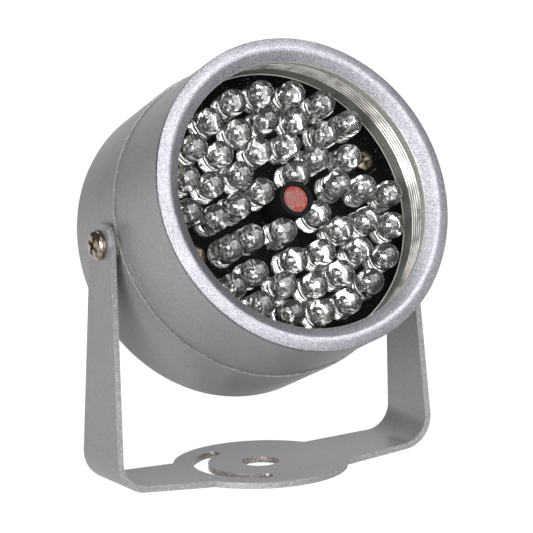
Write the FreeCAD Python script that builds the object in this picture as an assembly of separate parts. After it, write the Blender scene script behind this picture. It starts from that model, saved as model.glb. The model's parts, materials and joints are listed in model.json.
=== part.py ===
import FreeCAD, Part
import math
import os

# Infrared illuminator: a round lamp head that tilts between the arms of a folded sheet bracket.
# Lengths are in millimetres and angles in degrees. The origin is the middle of the base hole on the
# underside of the base, +Z is up and the lamp looks towards -Y.
# The head is drawn in its own frame: z runs forward from the pivot line, y up and x to the right.

# Bracket: one steel strip with a round base, folded up into a U with leaning arms
sheet_thickness = 1.2
base_radius = 16.7
base_hole_radius = 3.65
slot_radius = 11.5
slot_width = 3.0
slot_half_sweep = 65.0
strap_root_half_width = 8.3
strap_rise = 3.2
arm_foot_half_width = 6.95
arm_top_half_width = 4.1
arm_lean = 2.1
bend_radius = 4.9
pivot_height = 47.2

# Tilt of the head as it stands, and the play of its pivot
rest_tilt = 24.1
pivot_clearance = 0.06
arm_clearance = 0.25
washer_thickness = 0.7
washer_radius = 3.6
seat_proud = 0.1
seat_radius = 2.8

# Side screws
side_screw_radius = 1.5
side_screw_grip = 4.5
side_head_radius = 2.95
side_head_height = 1.5
side_head_clearance = 0.05

# Pan heads of all the screws, as shares of the head's height or radius
pan_side = 0.4
pan_shoulder_radius = 0.78
pan_shoulder_rise = 0.62
pan_flat = 0.35
cross_length = 1.1
cross_width = 0.26
cross_depth = 0.55
tip_chamfer = 0.25

# Rear cup: a cast cup with a little draft, closed behind, with a flat seat round each side hole
cup_step = 0.5
cup_draft = 1.5
cup_length = 18.8
cup_behind_pivot = 15.8
cup_wall = 4.4
cup_floor = 2.5
cup_edge_radius = 1.2
mouth_wall = 2.0

# Barrel: a tube whose spigot fills the cup's mouth, with a ledge for the board
barrel_wall = 3.3
barrel_front = 20.9
spigot_behind_pivot = 3.0
seal_thickness = 0.7
seal_margin = 0.15
thread_clearance = 0.05
ledge_position = 9.4
ledge_width = 1.5
lug_radius = 2.8
lug_length = 5.2

# Front ring: a bezel whose face rises gently from its side to a rounded crest and falls to a thin lip
ring_step = 0.1
ring_side = 0.85
ring_outer_slope = 16.0
ring_inner_slope = 30.0
ring_crest_radius = 1.5
ring_lip_width = 1.1
ring_lip_thickness = 0.7
ring_lip_round = 0.3
ring_lip_rise = 0.25
ring_spigot_depth = 3.8
ring_spigot_wall = 1.3

# Board and what stands on its front
board_thickness = 1.6
board_margin = 2.46
board_edge_clearance = 0.2
emitter_radius = 2.5
emitter_height = 7.2
emitter_flange_radius = 2.65
emitter_flange_height = 1.0
emitter_flat = 2.45
cell_radius = 2.5
cell_thickness = 2.0
cell_recess = 0.4
shroud_wall = 0.8
shroud_height = 7.2
shroud_clearance = 0.1

# Emitters in four rings from the middle out: node, then runs of first angle, step and count
shroud_gap = 0.05
emitter_ring_gap = 0.03
emitter_rings = (
    ("emitters_inner", ((62.0, 90.0, 4),)),
    ("emitters_second", ((12.0, 33.0, 7), (259.4, 33.0, 3))),
    ("emitters_third", ((3.5, 22.5, 16),)),
    ("emitters_outer", ((39.8, 17.3, 9), (222.0, 17.0, 9))),
)

# Two screws hold the board to lugs in the two gaps of the outer ring
board_screw_radius = 1.0
board_screw_length = 5.5
board_head_radius = 2.1
board_head_height = 1.3
board_screw_inset = 0.4
board_screw_angles = (19.5, 199.5)

# Parts soldered to the back of the board
resistor_radius = 1.1
resistor_length = 6.2
resistor_pitch = 3.6
resistor_count = 8
resistor_row = 9.0
transistor_size = (4.7, 3.8, 4.7)
transistor_row = -3.0
diode_radius = 1.35
diode_length = 5.2
diode_row = -9.0
connector_size = (7.5, 5.0, 6.0)
connector_edge_gap = 8.9

# Rubber grommet in the floor of the cup, where the supply lead enters
grommet_bore_radius = 2.2
grommet_neck_radius = 4.4
grommet_flange_radius = 6.2
grommet_inner_flange = 1.2
grommet_outer_flange = 2.2
grommet_edge_radius = 1.3
grommet_clearance = 0.05

# Sizes that follow: the emitters set the board, the board the barrel, and the barrel the cup and ring
shroud_radius = cell_radius + shroud_clearance + shroud_wall
inner_ring_radius = shroud_radius + shroud_gap + emitter_flat
emitter_ring_pitch = emitter_flange_radius + emitter_flat + emitter_ring_gap
outer_ring_radius = inner_ring_radius + emitter_ring_pitch * (len(emitter_rings) - 1)
board_screw_circle = outer_ring_radius - board_screw_inset
board_radius = outer_ring_radius + emitter_flange_radius + board_margin
barrel_bore_radius = board_radius + board_edge_clearance
barrel_radius = barrel_bore_radius + barrel_wall
cup_rim_radius = barrel_radius + cup_step
ring_radius = barrel_radius + ring_step
ring_lip_radius = barrel_bore_radius - ring_lip_width
connector_row = connector_edge_gap + connector_size[1] / 2 - board_radius

# How far a cutting shape runs past what it cuts, and how near two ends are the same point
overrun = 1.0
same_point = 1e-7

# Places that follow from the sizes above
cup_rear = -cup_behind_pivot
seam = cup_rear + cup_length
cup_rear_radius = cup_rim_radius - cup_length * math.tan(math.radians(cup_draft))
cup_bore_radius = cup_rim_radius - cup_wall
mouth_radius = cup_rim_radius - mouth_wall
spigot_end = -spigot_behind_pivot
mouth_floor = spigot_end - seal_thickness
ledge_radius = barrel_bore_radius - ledge_width
board_front = ledge_position + board_thickness
ring_spigot_end = barrel_front - ring_spigot_depth
ring_spigot_radius = barrel_bore_radius + ring_spigot_wall
seat_face = cup_rim_radius + seat_proud
washer_face = seat_face + washer_thickness
arm_inner_face = washer_face + arm_clearance
arm_outer_face = arm_inner_face + sheet_thickness / math.cos(math.radians(arm_lean))
side_head_seat = arm_outer_face + side_head_radius * math.tan(math.radians(arm_lean)) + side_head_clearance
base_fold = math.sqrt(base_radius**2 - strap_root_half_width**2)


def polar(radius, degrees, z=0.0):
    """Point at an angle round the z axis."""
    angle = math.radians(degrees)
    return FreeCAD.Vector(radius * math.cos(angle), radius * math.sin(angle), z)


def closed_face(points):
    """Face inside an outline. A point that is a pair of points is an arc: its middle, then its end."""
    ends = [p[1] if isinstance(p, tuple) else p for p in points]
    edges = []
    for start, step, end in zip([ends[-1]] + ends[:-1], points, ends):
        if isinstance(step, tuple):
            edges.append(Part.Arc(start, step[0], end).toShape())
        elif start.distanceToPoint(end) > same_point:
            edges.append(Part.LineSegment(start, end).toShape())
    return Part.Face(Part.Wire(edges))


def turned(steps):
    """Solid turned round the z axis. Steps are (radius, z), and an arc is a pair of them."""
    points = []
    for step in steps:
        if isinstance(step[0], tuple):
            points.append(tuple(FreeCAD.Vector(r, 0, z) for r, z in step))
        else:
            points.append(FreeCAD.Vector(step[0], 0, step[1]))
    return closed_face(points).revolve(FreeCAD.Vector(), FreeCAD.Vector(0, 0, 1), 360)


def quarter(centre, radius, first):
    """Middle and end of a quarter turn round a corner, from the given first angle."""
    turns = (math.radians(first + degrees) for degrees in (45, 90))
    return tuple((centre[0] + radius * math.cos(turn), centre[1] + radius * math.sin(turn)) for turn in turns)


def rod(radius, start, end):
    """Round bar along the z axis."""
    return Part.makeCylinder(radius, end - start, FreeCAD.Vector(0, 0, start))


def aimed(shape, place, direction):
    """Copy of a shape with its z axis along the direction, moved to a place."""
    copy = shape.copy()
    copy.Placement = FreeCAD.Placement(place, FreeCAD.Rotation(FreeCAD.Vector(0, 0, 1), direction))
    return copy


def block(size, middle_x, middle_y, low_z):
    """Box with its middle over a point."""
    corner = FreeCAD.Vector(middle_x - size[0] / 2, middle_y - size[1] / 2, low_z)
    return Part.makeBox(size[0], size[1], size[2], corner)


def side_directions():
    """The two ways out along the pivot line."""
    return [FreeCAD.Vector(side, 0, 0) for side in (-1, 1)]


def strip_face(offset):
    """Places along one face of the strip: fold, start, middle and end of the bend, top of the arm."""
    rise = math.radians(strap_rise)
    lean = math.radians(arm_lean)
    fold_x = base_fold - offset * math.tan(rise / 2)
    arm_x = arm_outer_face - offset / math.cos(lean)
    reach = arm_x + (pivot_height - offset + fold_x * math.tan(rise)) * math.tan(lean)
    corner_x = reach / (1 + math.tan(rise) * math.tan(lean))
    corner = FreeCAD.Vector(corner_x, 0, offset + (corner_x - fold_x) * math.tan(rise))
    along_strap = FreeCAD.Vector(math.cos(rise), 0, math.sin(rise))
    along_arm = FreeCAD.Vector(-math.sin(lean), 0, math.cos(lean))
    radius = bend_radius + sheet_thickness - offset
    trim = radius * math.tan(along_strap.getAngle(along_arm) / 2)
    start = corner - along_strap * trim
    end = corner + along_arm * trim
    centre = start + FreeCAD.Vector(-math.sin(rise), 0, math.cos(rise)) * radius
    middle = centre + (corner - centre).normalize() * radius
    top = corner + along_arm * (pivot_height + arm_top_half_width * 2 - corner.z)
    return FreeCAD.Vector(fold_x, 0, offset), start, middle, end, top


def bracket_half():
    """Right strap and arm: a folded strip, trimmed to its outline in plan and from the side."""
    fold, start, middle, end, top = strip_face(0.0)
    inner_fold, inner_start, inner_middle, inner_end, inner_top = strip_face(sheet_thickness)
    half_span = strap_root_half_width + sheet_thickness
    section = closed_face([
        FreeCAD.Vector(0, 0, 0), fold, start, (middle, end), top,
        inner_top, inner_end, (inner_middle, inner_start), inner_fold, FreeCAD.Vector(0, 0, sheet_thickness),
    ])
    section.translate(FreeCAD.Vector(0, -half_span, 0))
    strip = section.extrude(FreeCAD.Vector(0, 2 * half_span, 0))
    far = arm_outer_face * 2
    below = -sheet_thickness
    edge = [(0, strap_root_half_width), (base_fold, strap_root_half_width),
            (start.x, arm_foot_half_width), (far, arm_foot_half_width)]
    plan = [FreeCAD.Vector(x, -y, below) for x, y in edge]
    plan += [FreeCAD.Vector(x, y, below) for x, y in edge[::-1]]
    from_above = closed_face(plan).extrude(FreeCAD.Vector(0, 0, 2 * pivot_height))
    edge = [(half_span, below), (half_span, end.z),
            (arm_foot_half_width, end.z), (arm_top_half_width, pivot_height)]
    side = [FreeCAD.Vector(0, y, z) for y, z in edge]
    side.append((FreeCAD.Vector(0, 0, pivot_height + arm_top_half_width),
                 FreeCAD.Vector(0, -arm_top_half_width, pivot_height)))
    side += [FreeCAD.Vector(0, -y, z) for y, z in edge[-2::-1]]
    from_the_side = closed_face(side).extrude(FreeCAD.Vector(far, 0, 0))
    return strip.common(from_above).common(from_the_side)


def base_slot():
    """Arc slot round the base hole, with round ends, that lets the base be turned on its screws."""
    half = slot_width / 2
    first, last = 180 - slot_half_sweep, 180 + slot_half_sweep
    low = -sheet_thickness
    cap = math.degrees(half / slot_radius)
    outline = closed_face([
        polar(slot_radius + half, first, low),
        (polar(slot_radius + half, 180, low), polar(slot_radius + half, last, low)),
        (polar(slot_radius, last + cap, low), polar(slot_radius - half, last, low)),
        (polar(slot_radius - half, 180, low), polar(slot_radius - half, first, low)),
        (polar(slot_radius, first - cap, low), polar(slot_radius + half, first, low)),
    ])
    return outline.extrude(FreeCAD.Vector(0, 0, 3 * sheet_thickness))


def bracket():
    """Base disc with two straps that rise a little, and the arms bent up from them."""
    disc = Part.makeCylinder(base_radius, sheet_thickness)
    flat = block((2 * base_fold, 2 * base_radius, sheet_thickness), 0, 0, 0)
    right = bracket_half()
    left = right.mirror(FreeCAD.Vector(), FreeCAD.Vector(1, 0, 0))
    sheet = disc.common(flat).fuse([right, left]).removeSplitter()
    holes = [rod(base_hole_radius, -sheet_thickness, 2 * sheet_thickness), base_slot()]
    pivot_hole = rod(side_screw_radius + pivot_clearance, 0, 2 * arm_outer_face)
    holes += [aimed(pivot_hole, FreeCAD.Vector(0, 0, pivot_height), way) for way in side_directions()]
    return sheet.cut(holes)


def pan_screw(shank_radius, length, head_radius, head_height):
    """Screw with a domed pan head and a cross recess. Its head sits on z = 0 and faces +z."""
    side = head_height * pan_side
    tip = shank_radius * tip_chamfer
    shoulder = (head_radius * pan_shoulder_radius, side + (head_height - side) * pan_shoulder_rise)
    body = turned([
        (0, -length), (shank_radius - tip, -length), (shank_radius, tip - length), (shank_radius, 0),
        (head_radius, 0), (head_radius, side), (shoulder, (head_radius * pan_flat, head_height)),
        (0, head_height),
    ])
    long, wide = head_radius * cross_length, head_radius * cross_width
    floor = head_height * (1 - cross_depth)
    cross = block((long, wide, head_height), 0, 0, floor).fuse(block((wide, long, head_height), 0, 0, floor))
    return body.cut(cross)


def side_screws():
    """One screw through each arm and the cup into the barrel's spigot. The head turns on them."""
    length = side_head_seat - seat_face + side_screw_grip
    screw = pan_screw(side_screw_radius, length, side_head_radius, side_head_height)
    return [aimed(screw, way * side_head_seat, way) for way in side_directions()]


def side_washers():
    """Thin washers between the seats of the cup and the arms, which hold the tilt by friction."""
    ring = rod(washer_radius, 0, washer_thickness).cut(
        rod(side_screw_radius + arm_clearance, -washer_thickness, 2 * washer_thickness))
    return [aimed(ring, way * seat_face, way) for way in side_directions()]


def side_holes(clearance):
    """Bars to cut the holes for the side screws, all the way in from both sides."""
    hole = rod(side_screw_radius + clearance, cup_bore_radius / 2, 2 * seat_face)
    return [aimed(hole, FreeCAD.Vector(), way) for way in side_directions()]


def rear_cup():
    """Cast cup with a closed floor, a wide mouth, and a flat seat and a screw hole on each side."""
    inner_floor = cup_rear + cup_floor
    hole = grommet_neck_radius + grommet_clearance
    corner = (cup_rear_radius - cup_edge_radius, cup_rear + cup_edge_radius)
    cup = turned([
        (hole, cup_rear), (corner[0], cup_rear), quarter(corner, cup_edge_radius, -90),
        (cup_rim_radius, seam), (mouth_radius, seam), (mouth_radius, mouth_floor),
        (cup_bore_radius, mouth_floor), (cup_bore_radius, inner_floor), (hole, inner_floor),
    ])
    seat = rod(seat_radius, mouth_radius + mouth_wall / 4, seat_face)
    cup = cup.fuse([aimed(seat, FreeCAD.Vector(), way) for way in side_directions()])
    return cup.cut(side_holes(pivot_clearance))


def seam_seal():
    """Flat rubber ring at the bottom of the cup's mouth."""
    outer = rod(mouth_radius - seal_margin, mouth_floor, spigot_end)
    return outer.cut(rod(cup_bore_radius + seal_margin, mouth_floor - overrun, spigot_end + overrun))


def board_lug(degrees):
    """Lug inside the barrel that a board screw goes into, joined to the wall by a web."""
    low = ledge_position - lug_length
    middle = polar(board_screw_circle, degrees, low)
    post = Part.makeCylinder(lug_radius, lug_length, middle)
    reach = ledge_radius + ledge_width / 2 - board_screw_circle
    corner = FreeCAD.Vector(board_screw_circle, -lug_radius, low)
    web = Part.makeBox(reach, 2 * lug_radius, lug_length, corner)
    web.rotate(FreeCAD.Vector(), FreeCAD.Vector(0, 0, 1), degrees)
    return post.fuse(web)


def front_barrel():
    """Tube with a tapped spigot for the cup, a ledge for the board and a counterbore for the ring."""
    spigot_radius = mouth_radius - thread_clearance
    counterbore = ring_spigot_radius + thread_clearance
    tube = turned([
        (barrel_radius, seam), (barrel_radius, barrel_front), (counterbore, barrel_front),
        (counterbore, ring_spigot_end), (barrel_bore_radius, ring_spigot_end),
        (barrel_bore_radius, ledge_position), (ledge_radius, ledge_position),
        (ledge_radius, spigot_end), (spigot_radius, spigot_end), (spigot_radius, seam),
    ])
    tube = tube.fuse([board_lug(degrees) for degrees in board_screw_angles])
    bores = [Part.makeCylinder(board_screw_radius + thread_clearance, lug_length,
                               polar(board_screw_circle, degrees, ledge_position - lug_length))
             for degrees in board_screw_angles]
    return tube.cut(bores + side_holes(thread_clearance))


def rounded_crest(lip_edge, side_end):
    """Outer end, middle and inner end of the arc between the slopes that rise from lip and side."""
    inner, outer = math.radians(ring_inner_slope), math.radians(ring_outer_slope)
    width, step = side_end[0] - lip_edge[0], side_end[1] - lip_edge[1]
    inset = (step + width * math.tan(outer)) / (math.tan(inner) + math.tan(outer))
    reach = ring_crest_radius / math.cos((inner + outer) / 2)
    lean = (inner - outer) / 2
    centre_r = lip_edge[0] + inset + reach * math.sin(lean)
    centre_z = lip_edge[1] + inset * math.tan(inner) - reach * math.cos(lean)
    return [(centre_r + ring_crest_radius * math.sin(turn), centre_z + ring_crest_radius * math.cos(turn))
            for turn in (outer, -lean, -inner)]


def front_ring():
    """Bezel with a sloped face, a lip round the opening and a spigot inside the barrel."""
    side_end = (ring_radius, barrel_front + ring_side)
    lip_edge = (ring_lip_radius + ring_lip_round, barrel_front + ring_lip_round + ring_lip_rise)
    crest_outer, crest_middle, crest_inner = rounded_crest(lip_edge, side_end)
    lip_front = lip_edge[1] - ring_lip_round
    lip_back = barrel_front - ring_lip_thickness
    return turned([
        (barrel_bore_radius, ring_spigot_end), (ring_spigot_radius, ring_spigot_end),
        (ring_spigot_radius, barrel_front), (ring_radius, barrel_front), side_end,
        crest_outer, (crest_middle, crest_inner), lip_edge,
        quarter((lip_edge[0], lip_front), ring_lip_round, 90),
        (ring_lip_radius, lip_back), (barrel_bore_radius, lip_back),
    ])


def emitter_board():
    """Round board that sits on the barrel's ledge, with a hole for each of its screws."""
    holes = [Part.makeCylinder(board_screw_radius + board_edge_clearance, board_thickness,
                               polar(board_screw_circle, degrees, ledge_position))
             for degrees in board_screw_angles]
    return rod(board_radius, ledge_position, board_front).cut(holes)


def emitter():
    """Clear lens with a domed end and a thin flange, cut flat on one side. It stands on z = 0."""
    body_end = emitter_height - emitter_radius
    lens = turned([
        (0, 0), (emitter_flange_radius, 0), (emitter_flange_radius, emitter_flange_height),
        (emitter_radius, emitter_flange_height), (emitter_radius, body_end),
        quarter((0, body_end), emitter_radius, 0),
    ])
    width = 2 * emitter_flange_radius
    return lens.cut(block((width, width, emitter_flange_height), -emitter_flat - width / 2, 0, 0))


def emitter_ring(radius, runs):
    """Emitters round one ring, each turned so that its flat faces the middle of the board."""
    lens = emitter()
    ring = []
    for first, step, count in runs:
        for index in range(count):
            degrees = first + step * index
            turn = FreeCAD.Rotation(FreeCAD.Vector(0, 0, 1), degrees)
            copy = lens.copy()
            copy.Placement = FreeCAD.Placement(polar(radius, degrees, board_front), turn)
            ring.append(copy)
    return ring


def photocell_shroud():
    """Black sleeve that keeps the emitters' light off the photocell."""
    inner = cell_radius + shroud_clearance
    sleeve = rod(shroud_radius, board_front, board_front + shroud_height)
    return sleeve.cut(rod(inner, board_front - overrun, board_front + shroud_height + overrun))


def photocell():
    """Light sensor, a flat disc just inside the front of its sleeve."""
    face = board_front + shroud_height - cell_recess
    return rod(cell_radius, face - cell_thickness, face)


def board_screws():
    """Screws through the board into the barrel's lugs."""
    screw = pan_screw(board_screw_radius, board_screw_length, board_head_radius, board_head_height)
    places = [polar(board_screw_circle, degrees, board_front) for degrees in board_screw_angles]
    return [aimed(screw, place, FreeCAD.Vector(0, 0, 1)) for place in places]


def lying_rod(radius, length, x, y):
    """Round body that lies on the back of the board, along y."""
    start = FreeCAD.Vector(x, y - length / 2, ledge_position - radius)
    return Part.makeCylinder(radius, length, start, FreeCAD.Vector(0, 1, 0))


def string_resistors():
    """One resistor for each string of emitters, side by side on the back of the board."""
    first = -resistor_pitch * (resistor_count - 1) / 2
    return [lying_rod(resistor_radius, resistor_length, first + resistor_pitch * index, resistor_row)
            for index in range(resistor_count)]


def on_back(size, row):
    """Square part on the back of the board."""
    return block(size, 0, row, ledge_position - size[2])


def cable_grommet():
    """One rubber piece that grips the edge of the floor's hole, with a bore for the supply lead."""
    inner_floor = cup_rear + cup_floor
    back = cup_rear - grommet_outer_flange
    corner = (grommet_flange_radius - grommet_edge_radius, back + grommet_edge_radius)
    return turned([
        (grommet_bore_radius, back), (corner[0], back), quarter(corner, grommet_edge_radius, -90),
        (grommet_flange_radius, cup_rear), (grommet_neck_radius, cup_rear),
        (grommet_neck_radius, inner_floor), (grommet_neck_radius + grommet_inner_flange, inner_floor),
        (grommet_neck_radius + grommet_inner_flange / 2, inner_floor + grommet_inner_flange),
        (grommet_bore_radius, inner_floor + grommet_inner_flange),
    ])


def head_parts():
    """Everything that tilts, in the head's own frame."""
    parts = {
        "rear_cup": [rear_cup()],
        "seam_seal": [seam_seal()],
        "front_barrel": [front_barrel()],
        "front_ring": [front_ring()],
        "side_screws": side_screws(),
        "side_washers": side_washers(),
        "emitter_board": [emitter_board()],
        "photocell_shroud": [photocell_shroud()],
        "photocell": [photocell()],
        "board_screws": board_screws(),
        "string_resistors": string_resistors(),
        "switch_transistor": [on_back(transistor_size, transistor_row)],
        "polarity_diode": [lying_rod(diode_radius, diode_length, 0, diode_row)],
        "supply_connector": [on_back(connector_size, connector_row)],
        "cable_grommet": [cable_grommet()],
    }
    for index, (node, runs) in enumerate(emitter_rings):
        parts[node] = emitter_ring(inner_ring_radius + emitter_ring_pitch * index, runs)
    return parts


def write_node(node, solids):
    """One file for each node. Like pieces share a node as separate solids."""
    shape = solids[0] if len(solids) == 1 else Part.makeCompound(solids)
    assert shape.isValid() and len(shape.Solids) == len(solids), node
    shape.exportStep("parts/" + node + ".step")
    print(node, len(shape.Solids), round(shape.Volume, 2))


os.makedirs("parts", exist_ok=True)
at_rest = FreeCAD.Placement(FreeCAD.Vector(0, 0, pivot_height),
                            FreeCAD.Rotation(FreeCAD.Vector(1, 0, 0), 90 - rest_tilt))
write_node("bracket", bracket().Solids)
for name, pieces in head_parts().items():
    placed = []
    for piece in pieces:
        copy = piece.copy()
        copy.Placement = at_rest.multiply(copy.Placement)
        placed.append(copy)
    write_node(name, placed)
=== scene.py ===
import json
import math

import bmesh
import bpy
from mathutils import Matrix, Vector


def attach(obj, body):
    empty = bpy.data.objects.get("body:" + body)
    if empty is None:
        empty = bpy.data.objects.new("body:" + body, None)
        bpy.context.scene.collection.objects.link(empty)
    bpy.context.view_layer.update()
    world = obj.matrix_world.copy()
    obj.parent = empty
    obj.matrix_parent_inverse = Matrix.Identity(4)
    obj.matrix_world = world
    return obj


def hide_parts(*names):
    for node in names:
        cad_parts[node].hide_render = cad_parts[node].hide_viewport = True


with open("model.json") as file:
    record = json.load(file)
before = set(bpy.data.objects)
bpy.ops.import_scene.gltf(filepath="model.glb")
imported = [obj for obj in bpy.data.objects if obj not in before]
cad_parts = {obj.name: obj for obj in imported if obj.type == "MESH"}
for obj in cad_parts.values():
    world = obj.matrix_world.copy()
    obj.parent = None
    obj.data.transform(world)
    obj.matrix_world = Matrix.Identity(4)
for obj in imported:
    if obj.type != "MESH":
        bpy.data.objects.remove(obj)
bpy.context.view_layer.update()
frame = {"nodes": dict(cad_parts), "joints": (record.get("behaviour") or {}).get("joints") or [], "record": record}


# Bracket: a strip of mild steel, blanked with its round base, slot and holes and folded up into a U.
# It is painted silver grey after folding, so the broad faces are smooth and the square blanked
# edges carry a rougher and thinner coat. Screws through the base hold it to a wall.
metre = 1000.0  # millimetres
sheet_edge_radius = 0.00018  # metres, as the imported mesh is, and so are the next three
base_top = 0.0013
arm_foot = 0.012
slot_reach = 0.0132
sideways = 0.5  # share of a normal
sharp_angle = 35.0


def linear(colour):
    """Linear colour of an sRGB hex value."""
    parts = [int(colour[i:i + 2], 16) / 255 for i in (1, 3, 5)]
    return [p / 12.92 if p <= 0.04045 else ((p + 0.055) / 1.055) ** 2.4 for p in parts] + [1.0]


def add(tree, kind, inputs=(), **settings):
    """A node with its settings. Each input is a value, or the socket of another node to link it to."""
    node = tree.nodes.new(kind)
    for name, value in settings.items():
        setattr(node, name, value)
    for key, value in dict(inputs).items():
        if isinstance(value, bpy.types.NodeSocket):
            tree.links.new(value, node.inputs[key])
        else:
            node.inputs[key].default_value = value
    return node


def new_finish(name, surface):
    """A material with one principled shader. Returns it with its tree and shader."""
    material = bpy.data.materials.new(name)
    material.use_nodes = True
    tree = material.node_tree
    tree.nodes.clear()
    shader = add(tree, "ShaderNodeBsdfPrincipled", surface)
    add(tree, "ShaderNodeOutputMaterial", {"Surface": shader.outputs["BSDF"]})
    return material, tree, shader


def silver_paint(name, dark, light, painted_glint, flake, depth, surface):
    """Silver paint: aluminium flake in grey lacquer. The flake size, in millimetres, gives the grain
    its scale, and the depth of the orange peel, in millimetres, how rough the coat feels. One flake
    in twelve is painted in the lighter sparkle colour, a painted glint for a flake facing the light."""
    cloud_size, cloud_share, flake_share = 5.0, 0.4, 0.65
    lit_from, lit_fully = 0.9, 0.94
    material, tree, shader = new_finish(name, surface)
    place = add(tree, "ShaderNodeTexCoord").outputs["Object"]
    flakes = add(tree, "ShaderNodeTexVoronoi", {"Vector": place, "Scale": metre / flake})
    tone = add(tree, "ShaderNodeSeparateColor", {"Color": flakes.outputs["Color"]})
    cloud = add(tree, "ShaderNodeTexNoise", {
        "Vector": place, "Scale": metre / cloud_size, "Detail": 3.0})
    part = add(tree, "ShaderNodeMath", {0: cloud.outputs["Fac"], 1: cloud_share}, operation="MULTIPLY")
    share = add(tree, "ShaderNodeMath", {
        0: tone.outputs["Red"], 1: flake_share, 2: part.outputs[0]}, operation="MULTIPLY_ADD")
    grey = add(tree, "ShaderNodeMix", {
        0: share.outputs[0], 6: linear(dark), 7: linear(light)}, data_type="RGBA")
    # Painted glints: about one flake in twelve gets the light sparkle colour, whatever the lamps do.
    lit = add(tree, "ShaderNodeMapRange", {
        "Value": tone.outputs["Green"], "From Min": lit_from, "From Max": lit_fully})
    colour = add(tree, "ShaderNodeMix", {
        0: lit.outputs[0], 6: grey.outputs[2], 7: linear(painted_glint)}, data_type="RGBA")
    tree.links.new(colour.outputs[2], shader.inputs["Base Color"])
    peel = add(tree, "ShaderNodeTexNoise", {
        "Vector": place, "Scale": metre / (2 * flake), "Detail": 2.0})
    bump = add(tree, "ShaderNodeBump", {
        "Height": peel.outputs["Fac"], "Strength": 0.6, "Distance": depth / metre})
    tree.links.new(bump.outputs["Normal"], shader.inputs["Normal"])
    return material


def link(name, mesh):
    """A new object in the scene, at the origin."""
    piece = bpy.data.objects.new(name, mesh)
    bpy.context.scene.collection.objects.link(piece)
    return piece


def drawn(name, shape):
    """The mesh that a bmesh holds. The bmesh goes."""
    mesh = bpy.data.meshes.new(name)
    shape.to_mesh(mesh)
    shape.free()
    return mesh


def plain(name, maker):
    """The plain mesh of an object with its modifiers' result. The maker goes."""
    graph = bpy.context.evaluated_depsgraph_get()
    mesh = bpy.data.meshes.new_from_object(maker.evaluated_get(graph), depsgraph=graph)
    bpy.data.objects.remove(maker)
    return link(name, mesh)


def welded(node):
    """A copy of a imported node's mesh with its loose triangles joined into whole faces."""
    touching, flat = 1e-6, math.radians(0.4)
    shape = bmesh.new()
    shape.from_mesh(frame["nodes"][node].data)
    bmesh.ops.remove_doubles(shape, verts=shape.verts, dist=touching)
    bmesh.ops.dissolve_limit(shape, angle_limit=flat, verts=shape.verts, edges=shape.edges)
    return drawn(node + "_welded", shape)


def softened(name, mesh, radius):
    """A piece with its sharp edges rounded to a radius in metres, and its flat faces shaded flat."""
    maker = link(name + "_maker", mesh)
    maker.data.shade_smooth()
    rounding = maker.modifiers.new("edges", "BEVEL")
    rounding.width = radius
    rounding.segments = 3
    rounding.limit_method = "ANGLE"
    rounding.angle_limit = math.radians(sharp_angle)
    flatness = maker.modifiers.new("flat_faces", "WEIGHTED_NORMAL")
    flatness.weight = 100
    flatness.keep_sharp = False
    return plain(name, maker)


def dressed(piece, body, slot, *replaced):
    """Puts a piece on the body that carries it and hides the nodes it stands for. The slot is not used."""
    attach(piece, body)
    if replaced:
        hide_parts(*replaced)


# Smooth paint on the broad faces gives an even grey, with a fine sparkle of painted glints. On the cut
# edges the coat is thin and bumpy, and in the base's hole and slot the steel shows through as bright spots with
# painted glints among them.
sheet_paint = silver_paint("silver_paint_on_sheet", "#636163", "#757375", "#807e81",
                           flake=0.14, depth=0.012, surface={"Metallic": 0.6, "Roughness": 0.4})
edge_paint = silver_paint("thin_paint_on_cut_edge", "#565557", "#757476", "#858488",
                          flake=0.2, depth=0.05, surface={"Metallic": 0.55, "Roughness": 0.5})
worn_steel = silver_paint("worn_steel_round_screw_holes", "#554f4c", "#787370", "#bbb9b5",
                          flake=0.11, depth=0.03, surface={"Metallic": 0.8, "Roughness": 0.35})
bracket = softened("folded_bracket", welded("bracket"), sheet_edge_radius)
for finish in (sheet_paint, edge_paint, worn_steel):
    bracket.data.materials.append(finish)
on_sheet, on_edge, round_slot = range(3)
for face in bracket.data.polygons:
    x, y, z = (abs(part) for part in face.normal)
    base_edge = face.center.z < base_top and z < sideways
    arm_edge = face.center.z > arm_foot and x < sideways
    face.material_index = on_edge if y > sideways or base_edge or arm_edge else on_sheet
    if base_edge and math.hypot(face.center.x, face.center.y) < slot_reach:
        face.material_index = round_slot
dressed(bracket, "bracket", "bracket_paint", "bracket")


# The lamp's own frame: z runs forward from the tilt axis, y up and x to the right, in millimetres.
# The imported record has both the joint's place and the way the cable leaves, which is straight back.
tilt_axis = Vector(frame["joints"][0]["pos_m"])
mounts = {mount["name"]: mount for mount in frame["record"]["mounts"]}
backward = Vector(mounts["cable_inlet"]["axis"])
lamp = (Matrix.Translation(tilt_axis) @ Matrix.Rotation(math.atan2(backward.y, -backward.z), 4, "X")
        @ Matrix.Scale(1 / metre, 4))
into_lamp = lamp.inverted()
unmoved = Matrix.Identity(4)


# Rear cup: die cast aluminium, closed behind but for the cable's hole, and a little wider at its mouth
# by the draft of the mould. It is sprayed with fine silver paint. A fine groove in its rim shows as
# the thin line of the seam, and a flat seat on each side takes a washer.
cup_floor_back = -15.8
cup_floor_front = -13.3
cup_hole_radius = 4.45
cup_hole_round = 0.2
cup_back_radius = 29.87
cup_back_round = 1.2
cup_bore_radius = 26.0
cup_mouth_radius = 28.4
cup_mouth_floor = -3.7
cup_rim_radius = 30.4
cup_rim_round = 0.06
seam = 3.0
groove_radius = 29.9
groove_depth = 0.12
groove_width = 0.06
seat_radius = 2.8
seat_face = 30.5
seat_band = 3.4
seat_root = 0.5
side_hole_radius = 1.56
drill_excess = 1.0
rim_facing = 0.7
turn_facets = 256


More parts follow.
